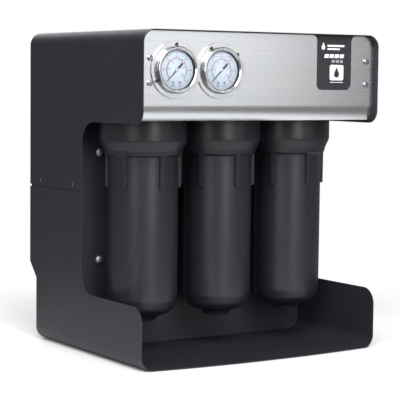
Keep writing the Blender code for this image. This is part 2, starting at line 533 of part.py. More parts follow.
valve = box("concentrate_valve", (112, 119.5, SERVICE_Z - 9), (VALVE_X + 9, 136.9, SERVICE_Z + 9), BRASS, 1.5)
bm = bmesh.new()
add_rod(bm, (VALVE_X, 144.4, SERVICE_Z), "Y", 9.5, 17, 12)
add_rod(bm, (VALVE_X, 153.4, SERVICE_Z), "Y", 3.9, 9, 12)
add_rod(bm, (VALVE_X, 156.0, SERVICE_Z), "Y", 3.0, 10.8, 12)
boolean(valve, from_bmesh("valve_stem_add", bm, None), "UNION")
knob = turned("concentrate_valve_knob", [(0, 21), (9.5, 21), (11, 19), (11, 3.2), (3.4, 3.2), (3.4, 6.6), (0, 6.6)], PLASTIC, (VALVE_X, 155.2, SERVICE_Z), (-90, 0, 0), 12)
bm = bmesh.new()
add_box(bm, (-1.2, 5, 16), (1.2, 14, 23))
boolean(knob, from_bmesh("knob_mark_cutter", bm, None, (VALVE_X, 155.2, SERVICE_Z), (-90, 0, 0)))

inlet = box("power_inlet", (INLET_X - 14, 134, SERVICE_Z - 14), (SWITCH_X + 10, 154.5, SERVICE_Z + 14), PLASTIC)
bm = bmesh.new()
add_box(bm, (INLET_X - 14, 150, SERVICE_Z - 14), (INLET_X + 14, 157.5, SERVICE_Z + 14))
add_box(bm, (SWITCH_X - 10, 150, SERVICE_Z - 14), (SWITCH_X + 10, 157.5, SERVICE_Z + 14))
add_box(bm, (INLET_X - 17, 156.8, SERVICE_Z - 17), (SWITCH_X + 13, 158.8, SERVICE_Z + 17))
boolean(inlet, from_bmesh("inlet_rim_add", bm, None), "UNION")
bm = bmesh.new()
add_box(bm, (INLET_X - 11.8, 143, SERVICE_Z - 7.8), (INLET_X + 11.8, 170, SERVICE_Z + 7.8))
add_box(bm, (SWITCH_X - 7.8, 140, SERVICE_Z - 12.4), (SWITCH_X + 7.8, 170, SERVICE_Z + 12.4))
boolean(inlet, from_bmesh("inlet_cavity_cutter", bm, None))
bm = bmesh.new()
for px, pz in ((-7, -1.5), (7, -1.5), (0, 2.5)):
    add_box(bm, (INLET_X + px - 1.0, 142, SERVICE_Z + pz - 2.0), (INLET_X + px + 1.0, 155, SERVICE_Z + pz + 2.0))
boolean(inlet, from_bmesh("inlet_pins_add", bm, None), "UNION")

rocker = plate("power_switch_rocker", [[(-10.5, 4.0), (0, 2.6), (10.5, 7.0), (10.5, 4.5), (5, -5), (-5, -5), (-10.5, 1.0)]], 14.6, RUBBER,
               loc=(SWITCH_X, 155.0, SERVICE_Z), rot=(90, 0, 90))
rocker.rotation_euler = (Matrix(((0, 0, 1), (0, 1, 0), (-1, 0, 0)))).to_euler()

box("controller_box", (56, PARTITION_Y + SHEET + 0.3, 292), (156, 70, 392), PLASTIC, 3)

# ================================================================ hoses
R_HOSE = 4.75


def hose(name, points, samples=24):
    tube(name, points, R_HOSE, TUBE, samples=samples)


def port(i, k):
    """Where a hose leaves a head's port, and two points straight behind it."""
    x = HOUSING_X[i - 1] + HEAD_PORTS[i][k]
    return [(x, PORT_Y + dy, PORT_Z) for dy in (0.4, 6, 18)]


hose("feed_hose", [(-165, 95.6, 57), (-165, 84, 57), (-168, 60, 76), (-170, 50, 130), (-170, 60, 260), (-167, 88, 350), (-164, 84, 398), *port(1, 0)[::-1]])
hose("suction_hose", [*port(1, 1), (-112, 76, 406), (-106, 88, 360), (-84, 96, 250), (-20, 88, 176), (52, 82, 168), (PUMP_IN[0], MY, 148),
                      (PUMP_IN[0], MY, PUMP_TOP + 6), (PUMP_IN[0], MY, PUMP_TOP)], 26)
hose("pressure_hose", [(PUMP_OUT[0], MY, PUMP_TOP), (PUMP_OUT[0], MY, 150), (84, 92, 215), (20, 104, 290), (-22, 104, 356), (-28, 84, 402), *port(2, 0)[::-1]])
hose("concentrate_hose", [*port(2, 2), (34, 78, 408), (80, 112, 380), (150, 130, 330), (186, 134, 240), (186, 132, 150), (172, 128, 100),
                          (VALVE_X, 128, 84), (VALVE_X, 128, 66.6)], 26)
hose("permeate_hose", [*port(2, 1), (14, 86, 430), (56, 102, 436), (98, 86, 430), *port(3, 0)[::-1]], 18)
hose("product_hose", [*port(3, 1), (158, 92, 408), (110, 146, 385), (20, 155, 350), (-76, 150, 290), (-116, 132, 210), (-122, 96, 130), (-122, 76, 84),
                      (-122, 92, 60), (-122, 112, 57), (-122, 136.9, 57)], 34)

for ob in PARTS.objects:
    if ob.type == "MESH":
        ob.data.shade_smooth()
        ob.data.set_sharp_from_angle(angle=math.radians(35))
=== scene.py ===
"""Looks for the reverse osmosis unit: a powder-coated case with a brushed stainless front, two gauges and three
black filter housings. Lengths below are millimetres in the case's own frame, turned into metres by the helpers."""
import math

import bmesh
import bpy
from mathutils import Matrix, Vector

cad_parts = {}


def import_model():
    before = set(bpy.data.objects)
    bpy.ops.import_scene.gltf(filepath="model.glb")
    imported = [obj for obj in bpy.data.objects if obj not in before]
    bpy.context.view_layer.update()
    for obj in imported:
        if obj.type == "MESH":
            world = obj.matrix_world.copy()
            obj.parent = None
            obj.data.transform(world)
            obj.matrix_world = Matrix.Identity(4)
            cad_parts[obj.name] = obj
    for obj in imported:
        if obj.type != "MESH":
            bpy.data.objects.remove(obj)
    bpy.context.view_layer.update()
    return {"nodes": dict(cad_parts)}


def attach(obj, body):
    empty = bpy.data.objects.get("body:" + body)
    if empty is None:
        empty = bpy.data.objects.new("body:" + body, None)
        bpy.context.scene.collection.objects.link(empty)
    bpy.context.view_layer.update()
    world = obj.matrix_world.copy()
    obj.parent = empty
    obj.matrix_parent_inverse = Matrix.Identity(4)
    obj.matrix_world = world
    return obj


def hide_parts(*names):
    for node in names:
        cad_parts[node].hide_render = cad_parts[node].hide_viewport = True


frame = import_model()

NODES = frame["nodes"]
MM = 0.001
SHIFT_Y = 7.0            # the case frame's y = 0 is 7 mm behind the footprint's middle
ROOT = Matrix.Translation((0, SHIFT_Y * MM, 0))

# ---------------------------------------------------------------- camera
AZ, PITCH, ROLL = math.radians(32.92), math.radians(4.6), math.radians(0.61)
ahead = Vector((math.sin(AZ) * math.cos(PITCH), math.cos(AZ) * math.cos(PITCH), -math.sin(PITCH)))
right = Vector((math.cos(AZ), -math.sin(AZ), 0))
upward = right.cross(ahead)
right, upward = (math.cos(ROLL) * right + math.sin(ROLL) * upward, -math.sin(ROLL) * right + math.cos(ROLL) * upward)
cam = bpy.data.objects.new("camera", bpy.data.cameras.new("camera"))
bpy.context.scene.collection.objects.link(cam)
cam.data.sensor_width = 36
cam.data.lens = 36 * 1508.93 / 400
cam.data.clip_end = 50
turn = Matrix((right, upward, -ahead)).transposed().to_4x4()
cam.matrix_world = Matrix.Translation((-1.3323, -2.05612 + SHIFT_Y * MM, 0.42971)) @ turn
bpy.context.scene.camera = cam

# ---------------------------------------------------------------- dimensions, mm, as the case is built
WIDTH, HEIGHT, SHEET, BEND_R = 436.0, 501.0, 1.5, 20.0
FRONT, BACK, FLOOR_BULGE = -181.0, 181.0, 14.0
TRAY_WALL, HOOD_EDGE, COLUMN_Y, SEAM_Z = 94.5, 361.8, 4.0, 252.5
STEP_Y, STEP_Z0, STEP_Z1 = 158.0, 101.0, 127.0
PANEL_Y, PANEL_T, PANEL_Z0, PANEL_Z1, PANEL_X, PANEL_BEND, PANEL_ROLL = -171.0, 1.5, 366.6, 499.0, 216.0, 32.0, 48.0
LABEL_X0, LABEL_X1, LABEL_Z, LABEL_R = 102.5, 170.4, 414.0, 8.5
PARTITION_Y = 21.5
HOUSING_X, HOUSING_Y = (-138.0, 0.0, 138.0), -48.5
GAUGE_X, GAUGE_Z = (-157.0, -78.0), 442.0
NEEDLE_ZERO = math.radians(-135)
DOME = [(x, z) for x in (-176.5, 176.5) for z in (142.5, 312.5)]
PANEL_SCREWS = [(x, z) for x in (-200.6, 200.6) for z in (422.5, 459.0)]
GAUGE_SCREWS = [(gx + 37.5 * math.cos(math.radians(a)), GAUGE_Z + 37.5 * math.sin(math.radians(a)))
                for gx, angles in zip(GAUGE_X, ((90, 206), (119, 40))) for a in angles]
FACING = Matrix.Rotation(math.pi / 2, 4, "X")        # local +Z becomes the front, -Y


# ---------------------------------------------------------------- materials
class Nodes:
    """A small helper to write a node tree."""

    def __init__(self, name):
        self.m = bpy.data.materials.new(name)
        self.m.use_nodes = True
        self.t = self.m.node_tree
        self.s = self.t.nodes["Principled BSDF"]
        self.co = self.t.nodes.new("ShaderNodeTexCoord").outputs["Object"]

    def node(self, kind, **inputs):
        n = self.t.nodes.new(kind)
        for key, v in inputs.items():
            key = key.replace("_", " ")
            if hasattr(v, "links") and hasattr(v, "node"):
                self.t.links.new(v, n.inputs[key])
            else:
                n.inputs[key].default_value = v
        return n

    def link(self, a, b):
        self.t.links.new(a, b)

    def scaled(self, x, y, z):
        n = self.node("ShaderNodeMapping", Vector=self.co)
        n.inputs["Scale"].default_value = (x, y, z)
        return n.outputs["Vector"]

    def noise(self, scale, detail=2.0, rough=0.5, vector=None, distortion=0.0):
        return self.node("ShaderNodeTexNoise", Vector=vector or self.co, Scale=scale, Detail=detail, Roughness=rough,
                         Distortion=distortion).outputs["Fac"]

    def remap(self, value, a, b, lo=0.3, hi=0.7):
        n = self.node("ShaderNodeMapRange", Value=value)
        for k, v in (("From Min", lo), ("From Max", hi), ("To Min", a), ("To Max", b)):
            n.inputs[k].default_value = v
        return n.outputs["Result"]

    def tint(self, value, dark, light):
        n = self.t.nodes.new("ShaderNodeMix")
        n.data_type = "RGBA"
        self.link(value, n.inputs["Factor"])
        n.inputs["A"].default_value = (*dark, 1)
        n.inputs["B"].default_value = (*light, 1)
        return n.outputs["Result"]

    def bump(self, *layers):
        """layers: (height socket, depth in mm, strength)."""
        normal = None
        for height, depth, strength in layers:
            n = self.node("ShaderNodeBump", Height=height)
            n.inputs["Strength"].default_value = strength
            n.inputs["Distance"].default_value = depth * MM
            if normal is not None:
                self.link(normal, n.inputs["Normal"])
            normal = n.outputs["Normal"]
        self.link(normal, self.s.inputs["Normal"])

    def set(self, **kw):
        for k, v in kw.items():
            self.s.inputs[k.replace("_", " ")].default_value = v


def around(c, f):
    return tuple(x * f for x in c)


def powder_coat(name, colour, rough=0.46, peel=1.0):
    """Fine-textured powder coat: orange peel, a fine sparkle of pits, and slow cloudiness."""
    n = Nodes(name)
    fine, peel_n, cloud = n.noise(2600, 2, 0.6), n.noise(620, 2), n.noise(7, 3, 0.6)
    n.link(n.tint(n.remap(cloud, 0, 1), around(colour, 0.93), around(colour, 1.08)), n.s.inputs["Base Color"])
    n.link(n.remap(n.noise(90, 4, 0.65), rough - 0.03, rough + 0.04), n.s.inputs["Roughness"])
    n.bump((peel_n, 0.12, 0.14 * peel), (fine, 0.05, 0.20 * peel))
    n.set(Specular_IOR_Level=0.38)
    return n.m


def brushed(name, colour, rough=0.27, along="X", strength=1.0, aniso=0.0, uv=None):
    """Brushed metal: fine streaks along one axis, with broader soft bands. uv names a map whose U runs across the grain."""
    n = Nodes(name)
    v = n.scaled(*[3.0 if a == along else 1900.0 for a in "XYZ"])
    w = n.scaled(*[1.3 if a == along else 300.0 for a in "XYZ"])
    streak, band, smudge = n.noise(1.0, 3, 0.7, v), n.noise(1.0, 2, 0.5, w), n.noise(9, 4, 0.6)
    both = n.node("ShaderNodeMath")
    both.operation = "ADD"
    n.link(streak, both.inputs[0])
    n.link(band, both.inputs[1])
    n.link(n.tint(n.remap(both.outputs[0], 0, 1, 0.7, 1.3), around(colour, 0.955), around(colour, 1.03)), n.s.inputs["Base Color"])
    mix = n.node("ShaderNodeMath")
    mix.operation = "MULTIPLY_ADD"
    n.link(smudge, mix.inputs[0])
    mix.inputs[1].default_value = 0.35
    n.link(streak, mix.inputs[2])
    n.link(n.remap(mix.outputs[0], rough - 0.035, rough + 0.045, 0.45, 0.95), n.s.inputs["Roughness"])
    n.bump((streak, 0.02, 0.20 * strength), (band, 0.03, 0.05 * strength))
    n.set(Metallic=1.0, Anisotropic=aniso)
    if uv:
        t = n.t.nodes.new("ShaderNodeTangent")
        t.direction_type, t.uv_map = "UV_MAP", uv
        n.link(t.outputs["Tangent"], n.s.inputs["Tangent"])
    return n.m


def polished(name, colour=(0.80, 0.81, 0.82), rough=0.10):
    """Turned and polished steel, with hairlines and light handling marks."""
    n = Nodes(name)
    n.link(n.tint(n.remap(n.noise(60, 3), 0, 1), around(colour, 0.94), around(colour, 1.03)), n.s.inputs["Base Color"])
    n.link(n.remap(n.noise(70, 4, 0.6), rough * 0.9, rough * 1.2), n.s.inputs["Roughness"])
    n.bump((n.noise(900, 2, 0.6), 0.004, 0.03))
    n.set(Metallic=1.0)
    return n.m


def moulded(name, colour, rough=0.40, grain=1.0, spec=0.5):
    """Injection-moulded plastic: a fine spark-eroded texture and faint flow clouds."""
    n = Nodes(name)
    n.link(n.tint(n.remap(n.noise(16, 3, 0.6), 0, 1), around(colour, 0.90), around(colour, 1.10)), n.s.inputs["Base Color"])
    n.link(n.remap(n.noise(130, 4, 0.7), rough - 0.05, rough + 0.06), n.s.inputs["Roughness"])
    n.bump((n.noise(42, 1), 0.25, 0.05 * grain), (n.noise(1900, 2, 0.6), 0.05, 0.20 * grain))
    n.set(Specular_IOR_Level=spec)
    return n.m


def wound(name, colour, pitch, rough=0.8):
    """Filter media: fibres wound at a slant."""
    n = Nodes(name)
    wave = n.node("ShaderNodeTexWave", Vector=n.scaled(1, 1, 1), Scale=pitch, Distortion=3.0, Detail=2.0)
    wave.bands_direction = "Z"
    n.link(n.tint(wave.outputs["Fac"], around(colour, 0.86), colour), n.s.inputs["Base Color"])
    n.bump((wave.outputs["Fac"], 0.6, 0.5), (n.noise(1400, 3), 0.1, 0.4))
    n.link(n.remap(n.noise(300, 2), rough - 0.08, rough + 0.08), n.s.inputs["Roughness"])
    return n.m


def ink(name, colour, rough=0.35):
    n = Nodes(name)
    n.link(n.tint(n.remap(n.noise(1500, 2), 0, 1), around(colour, 0.88), colour), n.s.inputs["Base Color"])
    n.link(n.remap(n.noise(700, 2), rough - 0.04, rough + 0.06), n.s.inputs["Roughness"])
    return n.m


def clear_glass(name):
    """Thin clear glass: see-through head on, mirror-like at a slant."""
    n = Nodes(name)
    clear, gloss, mix, fres = (n.t.nodes.new(k) for k in ("ShaderNodeBsdfTransparent", "ShaderNodeBsdfGlossy", "ShaderNodeMixShader", "ShaderNodeFresnel"))
    clear.inputs["Color"].default_value = (0.97, 0.985, 1.0, 1)
    fres.inputs["IOR"].default_value = 1.42
    n.link(n.remap(n.noise(40, 3), 0.012, 0.03), gloss.inputs["Roughness"])
    n.link(fres.outputs["Fac"], mix.inputs["Fac"])
    n.link(clear.outputs[0], mix.inputs[1])
    n.link(gloss.outputs[0], mix.inputs[2])
    n.link(mix.outputs[0], n.t.nodes["Material Output"].inputs["Surface"])
    n.t.nodes.remove(n.s)
    return n.m


POWDER = powder_coat("powder_coat", (0.0150, 0.0165, 0.0225), 0.50)
# The inside copy of the powder coat is painted lighter than the outer coat: painted fill light on the partition and
# flanges in the shaded bay; its roughness is lower as well.
POWDER_LIT_INSIDE = powder_coat("powder_coat_inside_painted_fill_light", (0.0190, 0.0208, 0.0275), 0.40)
STAINLESS = brushed("brushed_stainless", (0.70, 0.715, 0.735), 0.27, "X", 0.35, 0.35, "grain")
POLISHED = polished("polished_steel", (0.50, 0.51, 0.53), 0.08)
SATIN = polished("satin_steel", (0.40, 0.41, 0.43), 0.20)
FLANGE = polished("satin_flange", (0.66, 0.67, 0.68), 0.24)
HUB = polished("hub_steel", (0.85, 0.86, 0.87), 0.3)
ZINC = polished("zinc_screw", (0.40, 0.405, 0.415), 0.52)
BLACKENED = polished("blackened_screw", (0.10, 0.10, 0.11), 0.20)
HOUSING = moulded("housing_plastic", (0.0105, 0.0115, 0.0155), 0.36)
CAP = moulded("cap_plastic", (0.0100, 0.0108, 0.0135), 0.36)
PLASTIC = moulded("black_plastic", (0.028, 0.028, 0.030), 0.45)
DIAL = ink("dial_white", (0.80, 0.875, 0.95), 0.45)
RED = ink("ink_red", (0.72, 0.10, 0.12))
GREY = ink("ink_grey", (0.30, 0.32, 0.34))
BLACK = ink("ink_black", (0.03, 0.03, 0.035))
WHITE = ink("ink_white", (0.86, 0.87, 0.88))
NEEDLE = ink("needle_black", (0.02, 0.02, 0.022), 0.3)
LABEL = moulded("label_film", (0.017, 0.018, 0.022), 0.38, 0.4)
GLASS = clear_glass("gauge_glass")
RUBBER = moulded("rubber", (0.018, 0.018, 0.018), 0.65)
BRASS = polished("brass", (0.72, 0.53, 0.24), 0.25)
FITTING = moulded("white_acetal", (0.74, 0.74, 0.72), 0.35)
TUBE = moulded("white_hose", (0.76, 0.78, 0.80), 0.35, 0.5)
MOTOR = powder_coat("motor_paint", (0.20, 0.21, 0.23), 0.42)
MEDIA = wound("filter_media", (0.78, 0.78, 0.75), 90)
WRAP = wound("membrane_wrap", (0.70, 0.74, 0.78), 30, 0.5)
ZINC_SHEET = brushed("zinc_sheet", (0.52, 0.54, 0.57), 0.34, "X", 0.6)


# ---------------------------------------------------------------- shapes
def arc(cx, cy, r, a0, a1, n):
    return [(cx + r * math.cos(math.radians(a0 + (a1 - a0) * i / n)), cy + r * math.sin(math.radians(a0 + (a1 - a0) * i / n)))
            for i in range(n + 1)]


def round_rect(x0, x1, y0, y1, r, n=10):
    return (arc(x1 - r, y0 + r, r, -90, 0, n) + arc(x1 - r, y1 - r, r, 0, 90, n)
            + arc(x0 + r, y1 - r, r, 90, 180, n) + arc(x0 + r, y0 + r, r, 180, 270, n))


def obj(name, bm, mat=None, place=Matrix.Identity(4)):
    """A mesh object placed in the case's frame. Without a material it is a cutter, and is removed after use."""
    me = bpy.data.meshes.new(name)
    bmesh.ops.recalc_face_normals(bm, faces=bm.faces)
    bm.to_mesh(me)
    bm.free()
    me.transform(ROOT @ place)
    ob = bpy.data.objects.new(name, me)
    bpy.context.scene.collection.objects.link(ob)
    if mat is not None:
        me.materials.append(mat)
    return ob


def prism(outline, lo, hi, axis="Z"):
    """A closed outline drawn in the two axes after axis, drawn out along it from lo to hi. Axis Y draws in (X, Z)."""
    bm = bmesh.new()

    def at(p, h):
        x, y = p[0] * MM, p[1] * MM
        return {"Z": (x, y, h * MM), "Y": (x, h * MM, y), "X": (h * MM, x, y)}[axis]

    a = [bm.verts.new(at(p, lo)) for p in outline]
    b = [bm.verts.new(at(p, hi)) for p in outline]
    bm.faces.new(a)
    bm.faces.new(list(reversed(b)))
    for i in range(len(a)):
        j = (i + 1) % len(a)
        bm.faces.new((a[i], b[i], b[j], a[j]))
    return bm


def add_box(bm, lo, hi, turn=Matrix.Identity(4)):
    size, mid = [b - a for a, b in zip(lo, hi)], [(a + b) / 2 for a, b in zip(lo, hi)]
    bmesh.ops.create_cube(bm, size=1.0, matrix=turn @ Matrix.Translation(Vector(mid) * MM) @ Matrix.Diagonal((*[s * MM for s in size], 1)))


def add_rod(bm, centre, r, length, seg=32, turn=Matrix.Identity(4), r2=None):
    bmesh.ops.create_cone(bm, cap_ends=True, segments=seg, radius1=r * MM, radius2=(r if r2 is None else r2) * MM, depth=length * MM,
                          matrix=Matrix.Translation(Vector(centre) * MM) @ turn)


def support(path, reach=0.8):
    """Adds a point just before and after each bend, so that flat faces stay flat under smooth shading."""
    out = [path[0]]
    for i in range(1, len(path)):
        a, b = Vector(path[i - 1]), Vector(path[i])
        d = (b - a).length
        if d > 8:
            out += [tuple(a + (b - a) * (reach / d)), tuple(b - (b - a) * (reach / d))]
        out.append(path[i])
    return out


def bent(path, a0, a1, along, thickness):
    """A sheet bent along a path at its middle thickness: (X, Z) swept along Y, or (Y, Z) swept along X."""
    path = [Vector(p) for p in support(path)]
    sides = ([], [])
    for i, p in enumerate(path):
        before = (p - path[i - 1]).normalized() if i else None
        after = (path[i + 1] - p).normalized() if i < len(path) - 1 else None
        d = ((before or after) + (after or before)).normalized()
        n = Vector((-d.y, d.x))
        reach = thickness / 2 / max(0.3, n.dot(Vector((-(after or before).y, (after or before).x))))
        sides[0].append(p + n * reach)
        sides[1].append(p - n * reach)
    bm = bmesh.new()

    def at(p, h):
        return (p.x * MM, h * MM, p.y * MM) if along == "Y" else (h * MM, p.x * MM, p.y * MM)

    grid = [[bm.verts.new(at(p, h)) for p in side] for side in sides for h in (a0, a1)]
    for k in range(len(path) - 1):
        for u, v in ((0, 1), (2, 3), (0, 2), (1, 3)):
            bm.faces.new((grid[u][k], grid[u][k + 1], grid[v][k + 1], grid[v][k]))
    for k in (0, -1):
        bm.faces.new((grid[0][k], grid[1][k], grid[3][k], grid[2][k]))
    return bm


def rounded(profile, r=0.5, n=3):
    """Rounds each corner of an open profile by radius r or by its own third value."""
    out = [profile[0][:2]]
    for a, b, c in zip(profile, profile[1:], profile[2:]):
        own = b[2] if len(b) > 2 else r
        va, vb, vc = Vector(a[:2]), Vector(b[:2]), Vector(c[:2])
        u, w = va - vb, vc - vb
        cosine = max(-1, min(1, u.normalized().dot(w.normalized())))
        angle = math.acos(cosine)
        if own <= 0 or angle > math.radians(176):
            out.append(tuple(vb))
            continue
        cut = min(own / math.tan(angle / 2), u.length * 0.48, w.length * 0.48)
        p, q = vb + u.normalized() * cut, vb + w.normalized() * cut
        for k in range(n + 1):
            t = k / n
            out.append(tuple((1 - t) ** 2 * p + 2 * t * (1 - t) * vb + t * t * q))
    out.append(profile[-1][:2])
    return out


def lathe(profile, steps=96, closed=False):
    """A turned shape from (radius, height) points."""
    bm = bmesh.new()
    rings = []
    for r, z in profile:
        if r < 1e-6:
            rings.append([bm.verts.new((0, 0, z * MM))])
        else:
            rings.append([bm.verts.new((r * MM * math.cos(2 * math.pi * k / steps), r * MM * math.sin(2 * math.pi * k / steps), z * MM))
                          for k in range(steps)])
    pairs = list(zip(rings, rings[1:])) + ([(rings[-1], rings[0])] if closed else [])
    for a, b in pairs:
        for k in range(steps):
            j = (k + 1) % steps
            if len(a) == 1 and len(b) == 1:
                continue
            if len(a) == 1:
                bm.faces.new((a[0], b[k], b[j]))
            elif len(b) == 1:
                bm.faces.new((a[k], a[j], b[0]))
            else:
                bm.faces.new((a[k], a[j], b[j], b[k]))
    return bm


def cut(ob, tool, operation="DIFFERENCE", self_cross=False):
    m = ob.modifiers.new("b", "BOOLEAN")
    m.operation, m.solver, m.object, m.use_self = operation, "EXACT", tool, self_cross
    return bake(ob, tool)


def bake(ob, *tools):
    """Applies the modifiers, and removes the tools that they used."""
    bpy.context.view_layer.update()
    me = bpy.data.meshes.new_from_object(ob.evaluated_get(bpy.context.evaluated_depsgraph_get()))
    old = ob.data
    ob.modifiers.clear()
    ob.data = me
    bpy.data.meshes.remove(old)
    for t in tools:
        bpy.data.objects.remove(t, do_unlink=True)
    return ob


def finish(ob, body="case", replaces=(), edge=0.0, segments=2, angle=35, smooth=40, weighted=True):
    """Rounds the edges, shades, and hands the piece to its body."""
    if edge:
        w = ob.modifiers.new("weld", "WELD")
        w.merge_threshold = 0.000005
        m = ob.modifiers.new("edge", "BEVEL")
        m.width, m.segments, m.limit_method, m.angle_limit = edge * MM, segments, "ANGLE", math.radians(angle)
        m.use_clamp_overlap = True
        bake(ob)
    ob.data.shade_smooth()
    if weighted:
        ob.data.set_sharp_from_angle(angle=math.radians(smooth if not edge else 75))
        m = ob.modifiers.new("normals", "WEIGHTED_NORMAL")
        m.mode, m.weight, m.keep_sharp = "FACE_AREA", 100, True
        bake(ob)
    else:
        ob.data.set_sharp_from_angle(angle=math.radians(smooth))
    if replaces:
        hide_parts(*replaces)
    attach(ob, body)
    return ob


def joined(name, parts, mat):
    """One object from several bmesh shapes."""
    bm = bmesh.new()
    for p in parts:
        me = bpy.data.meshes.new("t")
        p.to_mesh(me)
        p.free()
        bm.from_mesh(me)
        bpy.data.meshes.remove(me)
    return obj(name, bm, mat)


# ================================================================ case shells
def bay(n=14):
    pts = [(-320.0, 69.5)]
    pts += arc(FRONT + 25, TRAY_WALL - 25, 25, 180, 90, n)
    pts += arc(COLUMN_Y - 34, TRAY_WALL + 34, 34, -90, 0, n)
    pts += arc(COLUMN_Y - 35, HOOD_EDGE - 35, 35, 0, 90, n)
    pts += arc(FRONT + 20, HOOD_EDGE + 20, 20, 270, 180, n)
    return pts + [(-320.0, HOOD_EDGE + 20)]


half, mid_r = WIDTH / 2 - SHEET / 2, BEND_R - SHEET / 2
RIVETS = [(s, y) for s in (-1, 1) for y in (35.0, 145.0)]


def rivet_slots():
    bm = bmesh.new()
    for s, y in RIVETS:
        for z in (262.0,):
            out = round_rect(y - 1.6, y + 1.6, z - 4.0, z + 4.0, 1.55, 6)
            p = prism(out, s * 218 - 6, s * 218 + 6, "X")
            me = bpy.data.meshes.new("t")
            p.to_mesh(me)
            p.free()
            bm.from_mesh(me)
            bpy.data.meshes.remove(me)
    return obj("c", bm)


path = [(-half, SEAM_Z + 0.3)] + arc(-WIDTH / 2 + BEND_R, HEIGHT - BEND_R, mid_r, 180, 90, 24)
path += arc(WIDTH / 2 - BEND_R, HEIGHT - BEND_R, mid_r, 90, 0, 24) + [(half, SEAM_Z + 0.3)]
upper = obj("upper_shell_skin", bent(path, FRONT, BACK, "Y", SHEET), POWDER)
cut(upper, obj("c", prism(bay(), -300, 300, "X")))
cut(upper, obj("c", prism([(168, SEAM_Z - 1.6), (220, SEAM_Z - 1.6), (220, SEAM_Z + 1.6), (168, SEAM_Z + 1.6)], -300, 300, "X")))
cut(upper, rivet_slots())
finish(upper, replaces=["upper_shell"], edge=0.35)

path = [(-half, SEAM_Z - 0.3)] + arc(-WIDTH / 2 + BEND_R, BEND_R, mid_r, 180, 270, 24)
path += arc(WIDTH / 2 - BEND_R, BEND_R, mid_r, 270, 360, 24) + [(half, SEAM_Z - 0.3)]
base = obj("base_shell_skin", bent(path, FRONT - FLOOR_BULGE - 5, BACK, "Y", SHEET), POWDER)
bow = [(-260.0, FRONT)] + [(x, FRONT - FLOOR_BULGE * (1 - (x / (WIDTH / 2)) ** 2)) for x in [-218 + 436 * i / 48 for i in range(49)]] + [(260.0, FRONT)]
cut(base, obj("c", prism(bow + [(260.0, -300.0), (-260.0, -300.0)], -50, 300, "Z")))
cut(base, obj("c", prism(bay(), -300, 300, "X")))
cut(base, obj("c", prism([(STEP_Y, -20), (STEP_Y, STEP_Z0), (BACK + 0.6, STEP_Z1), (230, STEP_Z1 + 40), (230, -20)], -300, 300, "X")))
cut(base, obj("c", prism([(168, SEAM_Z - 1.6), (220, SEAM_Z - 1.6), (220, SEAM_Z + 1.6), (168, SEAM_Z + 1.6)], -300, 300, "X")))
finish(base, replaces=["base_shell"], edge=0.35)

# the folded flanges inside the shells, and hooks that show through the slots above the seam
bits = []
for s in (-1, 1):
    for reach, y, z0, z1 in ((203.5, 176.0, SEAM_Z + 6, 478), (162, PARTITION_Y + SHEET + 0.3, 290, 335), (193, PANEL_Y + PANEL_T + 0.3, 405, 478),
                             (203.5, 176.0, 144, SEAM_Z - 6), (162, PARTITION_Y + SHEET + 0.3, 120, 165)):
        x0, x1 = sorted((s * 216.9, s * reach))
        bits.append(prism(round_rect(x0, x1, z0, z1, 3, 5), y, y + SHEET, "Y"))
# the flanges take the lighter inside powder-coat copy: painted fill light
finish(joined("shell_flanges", bits, POWDER_LIT_INSIDE), edge=0.25)
bits = []
for s, y in RIVETS:
    x0, x1 = sorted((s * 214.5, s * 217.6))
    bits.append(prism(round_rect(y - 1.1, y + 1.1, 258.6, 265.2, 1.0, 6), x0, x1, "X"))
finish(joined("seam_hooks", bits, ZINC), edge=0.3, segments=3)

# partition, with the rims of its hose holes
# the partition takes the lighter inside powder-coat copy: painted fill light
part = obj("partition_skin", prism(round_rect(-216.1, 216.1, SHEET + 0.4, HEIGHT - SHEET - 0.4, 19.2, 14), PARTITION_Y, PARTITION_Y + SHEET, "Y"), POWDER_LIT_INSIDE)
bm = bmesh.new()
for hx, dxs in zip(HOUSING_X, ((-24, 24), (-26, 0, 26), (-24, 24))):
    for dx in dxs:
        add_rod(bm, (hx + dx, PARTITION_Y, 418), 9.2, 20, 32, FACING)
for x, z in DOME:
    add_rod(bm, (x, PARTITION_Y, z), 2.9, 20, 24, FACING)
cut(part, obj("c", bm))
finish(part, replaces=["partition_panel"], edge=0.25)

# ================================================================ front panel
path = [(PANEL_Y + PANEL_T / 2, PANEL_Z1)]
path += arc(PANEL_Y + PANEL_BEND, PANEL_Z0 + 0.1 + PANEL_BEND * math.sin(math.radians(PANEL_ROLL)), PANEL_BEND - PANEL_T / 2,
            180, 180 + PANEL_ROLL, 24)
panel = obj("front_panel_skin", bent(path, -PANEL_X, PANEL_X, "X", PANEL_T), STAINLESS)
cut(panel, obj("c", prism(round_rect(-PANEL_X, PANEL_X, 300, PANEL_Z1, PANEL_X - 197.8, 16), -320, 20, "Y")), "INTERSECT")
notch = [(LABEL_X0 - LABEL_R, 530.0)] + arc(LABEL_X0 - LABEL_R, PANEL_Z1 - LABEL_R, LABEL_R, 90, 0, 10)
notch += arc(LABEL_X0 + 9, LABEL_Z + 9, 9, 180, 270, 10) + arc(LABEL_X1 - 9, LABEL_Z + 9, 9, 270, 360, 10)
notch += arc(LABEL_X1 + LABEL_R, PANEL_Z1 - LABEL_R, LABEL_R, 180, 90, 10) + [(LABEL_X1 + LABEL_R, 530.0)]
cut(panel, obj("c", prism(notch, PANEL_Y - 10, PANEL_Y + 10, "Y")))
bm = bmesh.new()
for gx in GAUGE_X:
    add_rod(bm, (gx, PANEL_Y, GAUGE_Z), 32.6, 20, 64, FACING)
for x, z in PANEL_SCREWS:
    add_rod(bm, (x, PANEL_Y, z), 2.4, 20, 24, FACING)
cut(panel, obj("c", bm))
finish(panel, replaces=["front_panel"], edge=0.3)
uv = panel.data.uv_layers.new(name="grain")
for loop in panel.data.loops:
    co = panel.data.vertices[loop.vertex_index].co
    uv.data[loop.index].uv = (co.z - co.y, co.x)

